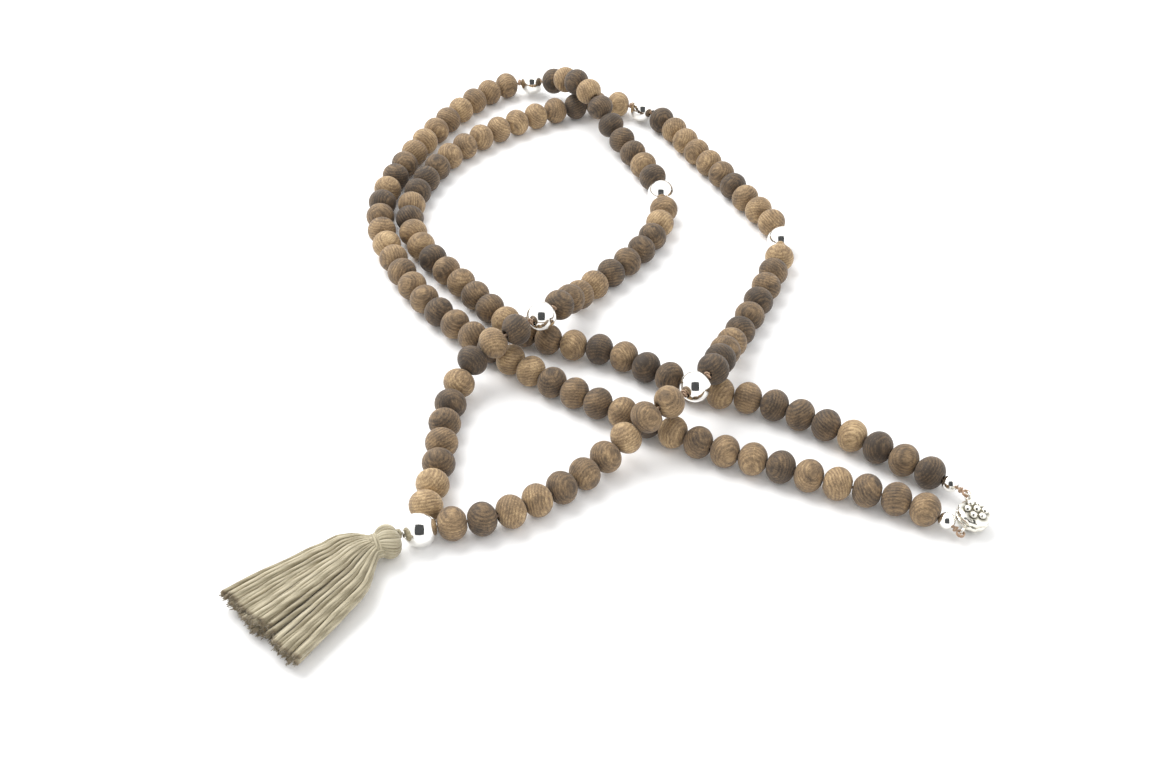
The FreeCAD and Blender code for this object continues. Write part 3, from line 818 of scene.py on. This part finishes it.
def yarnMaterial():
    # Mercerised cotton yarn: soft silky twist, each yarn a little lighter or darker, and painted shade that
    # makes the cut ends browner, where they soak up the light
    material, tree, surface = newMaterial("cottonYarn", {"Roughness": 0.68, "Specular IOR Level": 0.3,
                                                         "Sheen Weight": 0.35, "Sheen Roughness": 0.45})
    dark, middle, light = tassel["colours"]
    place = addNode(tree, "TexCoord").outputs["Object"]
    tone, tip, groove = (addNode(tree, "Attribute", {"attribute_name": name}).outputs["Fac"]
                         for name in ("tone", "tip", "groove"))
    fuzz = addNode(tree, "TexNoise", {"Scale": 1 / (tassel["fuzz"] * mm), "Detail": 4.0, "Roughness": 0.7},
                   {"Vector": place})
    shade = addNode(tree, "Math", {"operation": "MULTIPLY_ADD", 1: 0.45}, {0: fuzz.outputs["Fac"], 2: tone})
    # painted shade: darker along the groove between the two plies
    shade = addNode(tree, "Math", {"operation": "MULTIPLY_ADD", 1: -0.42}, {0: groove, 2: shade.outputs[0]})
    colour = setRamp(addNode(tree, "ValToRGB", links={"Fac": shade.outputs[0]}),
                     ((0.15, dark), (0.6, middle), (1.05, light)))
    # painted shade: browner towards the cut ends
    shadedEnds = addNode(tree, "Mix", {"data_type": "RGBA", 7: linearColour("#6e5a41")},
                   {0: tip, 6: colour.outputs["Color"]})
    tree.links.new(shadedEnds.outputs[2], surface.inputs["Base Color"])
    bump = addNode(tree, "Bump", {"Strength": 0.55, "Distance": tassel["fuzzHeight"] * mm},
                   {"Height": fuzz.outputs["Fac"]})
    tree.links.new(bump.outputs[0], surface.inputs["Normal"])
    return material


cotton = yarnMaterial()
skirtPoints = [vert.co for vert in frame["nodes"]["tassel_skirt"].data.vertices]
neckPlace = wrapMiddle + headWay * tassel["fromWrap"] * mm
far = max((point - neckPlace).length for point in skirtPoints)
skirtEnd = boxMiddle([point for point in skirtPoints if (point - neckPlace).length > far * 0.93])
skirtWay = Vector((skirtEnd.x - neckPlace.x, skirtEnd.y - neckPlace.y, 0)).normalized()
skirtSide = up.cross(skirtWay)
headSide = up.cross(headWay)
dice = random.Random(tassel["seed"])
noise.seed_set(tassel["seed"])  # without a seed its vectors change from run to run


def fanAt(share):
    for (s0, *low), (s1, *high) in zip(tassel["fan"], tassel["fan"][1:]):
        if share <= s1:
            part = max(0.0, (share - s0) / (s1 - s0))
            return [a + (b - a) * part for a, b in zip(low, high)]
    return list(tassel["fan"][-1][1:])


def paintYarns(mesh, each, tones, cutEndShadeAt):
    # shade of each yarn of so many points, painted shade towards the cut end, and painted shade in the
    # groove between the plies
    tone, tip, groove = (mesh.attributes.new(name, "FLOAT", "POINT") for name in ("tone", "tip", "groove"))
    points = tassel["sectionPoints"]
    for index in range(each * len(tones)):
        tone.data[index].value = tones[index // each]
        # painted shade towards the cut end
        tip.data[index].value = cutEndShadeAt(index % each / each)
        # painted shade, full where the two plies meet
        groove.data[index].value = 1 - abs(math.cos(math.tau * (index % points) / points))


def noCutEndShade(share):
    return 0.0


def skirtPaths():
    paths = []
    count, stations = tassel["yarns"], tassel["stations"]
    length = tassel["length"] * mm
    partBy, partAcross, partThrough = tassel["locks"]
    golden = math.pi * (3 - math.sqrt(5))
    for number in range(count):
        reach = math.sqrt((number + 0.5) / count)
        turn = number * golden
        u, v = reach * math.cos(turn), reach * math.sin(turn)
        u += partBy * noise.noise(Vector((u * partAcross, v * partThrough, 7.3)))
        uneven = 0.5 + noise.noise(Vector((u * 2.2, v * 2.2, 3.1)))
        trim = 1 - tassel["trim"][0] * uneven - dice.uniform(0, tassel["trim"][1])
        seedPlace = Vector((dice.uniform(0, 90), dice.uniform(0, 90), 0))
        path = []
        for step in range(stations):
            share = -tassel["tucked"] + (1 + tassel["tucked"]) * trim * step / (stations - 1)
            wide, thick, height = fanAt(max(share, 0.0))
            room = 0.92 - 0.42 / max(thick, 1)  # so that the outer yarns stay inside the CAD skirt
            sway = noise.noise_vector(seedPlace + Vector((share * 2.6, 0, 0)))
            opened = min(1.0, max(0.0, share) * 1.6)
            middle = neckPlace + skirtWay * share * length
            side = skirtSide
            if share < 0.25:  # leaves the neck along the head's line
                middle = middle.lerp(neckPlace + headWay * share * length, 1 - share / 0.25)
                side = headSide.lerp(skirtSide, max(share, 0) / 0.25).normalized()
            across = (u * wide + sway.x * tassel["sway"][0] * opened) * (1 if abs(u) < 0.9 else 0.97)
            rise = height + v * thick * room + sway.y * tassel["sway"][1] * opened
            place = Vector((middle.x, middle.y, 0)) + side * across * mm + up * rise * mm
            place.z = max(place.z, tassel["rest"] * mm)
            free = min(1.0, max(share, 0) / 0.3)
            path.append((place, tassel["gathered"] + (1 - tassel["gathered"]) * free))
        paths.append(path)
    return paths


# painted shade: browner over the last part of each yarn, up to its cut end
def skirtCutEndShade(share):
    return max(0.0, (share - 0.955) / 0.045)


yarnSection = threadSection(2, tassel["yarn"] / 2 * mm, tassel["sectionPoints"], 0.05)
paths = skirtPaths()
skirt = threads(paths, yarnSection, tassel["turnLength"])
tones = [min(1.0, max(0.0, dice.gauss(*tassel["tone"]))) for _ in paths]
paintYarns(skirt, tassel["stations"] * tassel["sectionPoints"], tones, skirtCutEndShade)
asPiece(skirt, "tassel_skirt_yarns", cotton, "tassel", "tassel_yarn", "tassel_skirt")
print("skirt yarns:", len(paths))

# Loose fibres at the cut ends
fray = {
    "each": 7,
    "thick": 0.2,
    "length": (0.5, 1.0),
    "root": 0.4,  # how far inside the yarn it starts
    "spread": 0.2,
    "lean": 0.3,
    "clear": 0.1,  # none reaches lower, so none goes through the floor
    "points": 4,
    "turnLength": 3.0,
    "tone": (0.0, 0.6),
    # the loose fibres' painted shade, as a share of the browner cut-end colour
    "tip": 0.5,
}
fibres = []
for path in paths:
    place, before = path[-1][0], path[-2][0]
    way = (place - before).normalized()
    for _ in range(fray["each"]):
        lean = (way + Vector([dice.gauss(0, fray["lean"]) for _ in range(3)])).normalized()
        aside = Vector([dice.gauss(0, fray["spread"]) for _ in range(3)])
        start = place - way * fray["root"] * mm + aside * mm
        span = dice.uniform(*fray["length"]) * mm
        bits = [start, start + way * span * 0.5, start + way * span * 0.5 + lean * span * 0.6]
        if min(bit.z for bit in bits) > fray["clear"] * mm:
            fibres.append([(bit, share) for bit, share in zip(bits, (1, 1, 0.6))])
fibreSection = threadSection(2, fray["thick"] / 2 * mm, fray["points"], 0.0)
frays = threads(fibres, fibreSection, fray["turnLength"])
tones = [dice.uniform(*fray["tone"]) for _ in fibres]
# painted shade: every loose fibre is painted part way to the browner cut-end colour
paintYarns(frays, 3 * fray["points"], tones, lambda share: fray["tip"])
asPiece(frays, "tassel_frays", cotton, "tassel", "tassel_yarn")

# The head: yarns folded over the hanging knot and gathered at the neck
head = {
    "start": 4.75,  # from the guru bead's middle
    "yarns": 30,
    "stations": 18,
    "uneven": 0.03,
    "twist": 0.1,  # radians to the millimetre
    "inset": 0.3,
    "share": 0.42,  # of a yarn's thickness at the fold, and twice that over the knot
    "tone": (0.36, 0.13),
    "profile": ((0.0, 0.6), (0.3, 1.7), (0.9, 2.8), (1.7, 3.4), (2.6, 3.6), (3.5, 3.4), (4.3, 2.85),
                (5.0, 2.35), (6.6, 2.2)),  # distance along the head, reach
    "core": ((0, 0.3), (1.4, 0.65), (2.4, 1.2), (3.1, 2.2), (3.1, 3.1), (2.5, 4.1), (2.1, 5.0),
             (2.0, 6.6), (0, 6.6)),  # reach, distance along: fills what is seen between the yarns
}


def spokeAt(angle, reach):
    return (headSide * math.cos(angle) + up * math.sin(angle)) * reach


def headPath(turn):
    path = []
    for step in range(head["stations"]):
        along = step / (head["stations"] - 1) * head["profile"][-1][0]
        stretches = zip(head["profile"], head["profile"][1:])
        (s0, r0), (s1, r1) = next(pair for pair in stretches if along <= pair[1][0] + 1e-9)
        reach = r0 + (r1 - r0) * (along - s0) / (s1 - s0)
        spoke = spokeAt(turn + head["twist"] * along, reach)
        place = headStart + headWay * (along + head["inset"]) * mm + spoke * mm
        path.append((place, head["share"] * (1 + min(1, reach / 3))))
    return path


headStart = guruMiddle + headWay * head["start"] * mm
paths = [headPath(math.tau * number / head["yarns"] + dice.uniform(-head["uneven"], head["uneven"]))
         for number in range(head["yarns"])]
mesh = threads(paths, yarnSection, tassel["turnLength"])
tones = [dice.gauss(*head["tone"]) for _ in paths]
paintYarns(mesh, head["stations"] * tassel["sectionPoints"], tones, noCutEndShade)
bm = bmesh.new()
bm.from_mesh(mesh)
core = asMesh(spun(head["core"], 32, closed=False), "core")
core.transform(turned(headWay, headStart))
bm.from_mesh(core)
asPiece(asMesh(bm, "head"), "tassel_head_yarns", cotton, "tassel", "tassel_yarn", "tassel_head")

# The binding: a few turns of the same yarn, pulled tight
binding = {
    "radius": 2.62,
    "turns": 4,
    "pitch": 0.66,
    "lean": (0.25, 0.6),  # how far it leans along the neck, and towards where
    "share": 0.68,
    "turnLength": 9.0,
    "tone": 0.42,
}
path = []
for n in range(binding["turns"] * 30 + 1):
    angle = math.tau * n / 30
    slide = (n / 30 - binding["turns"] / 2) * binding["pitch"]
    lean = binding["lean"][0] * math.cos(angle + binding["lean"][1])
    spoke = spokeAt(angle, binding["radius"])
    path.append((wrapMiddle + headWay * (slide + lean) * mm + spoke * mm, binding["share"]))
wrap = threads([path], yarnSection, binding["turnLength"])
paintYarns(wrap, len(path) * tassel["sectionPoints"], [binding["tone"]], noCutEndShade)
asPiece(wrap, "tassel_wrap_yarn", cotton, "tassel", "tassel_yarn", "tassel_wrap")

# The hanging knot between the guru bead and the head
hangingKnot = {
    "along": 4.95,  # from the guru bead's middle
    "above": 1.3,
    "size": 0.3,
    "share": 0.7,
    "turnLength": 1.6,
    "tone": 0.3,
}
knotMiddle = guruMiddle + headWay * hangingKnot["along"] * mm + up * hangingKnot["above"] * mm
path = knotPath(hangingKnot["size"], headWay, knotMiddle, 0.4)
path = [(place, hangingKnot["share"]) for place, share in path]
knot = threads([path], yarnSection, hangingKnot["turnLength"], cyclic=True)
paintYarns(knot, len(path) * tassel["sectionPoints"], [hangingKnot["tone"]], noCutEndShade)
asPiece(knot, "tassel_knot_yarn", cotton, "tassel_hanger", "cord", "tassel_knot")
finishNode("tassel_cord", cotton)
for section in (yarnSection, cordSection, fibreSection):
    bpy.data.objects.remove(section)
print("tassel done")
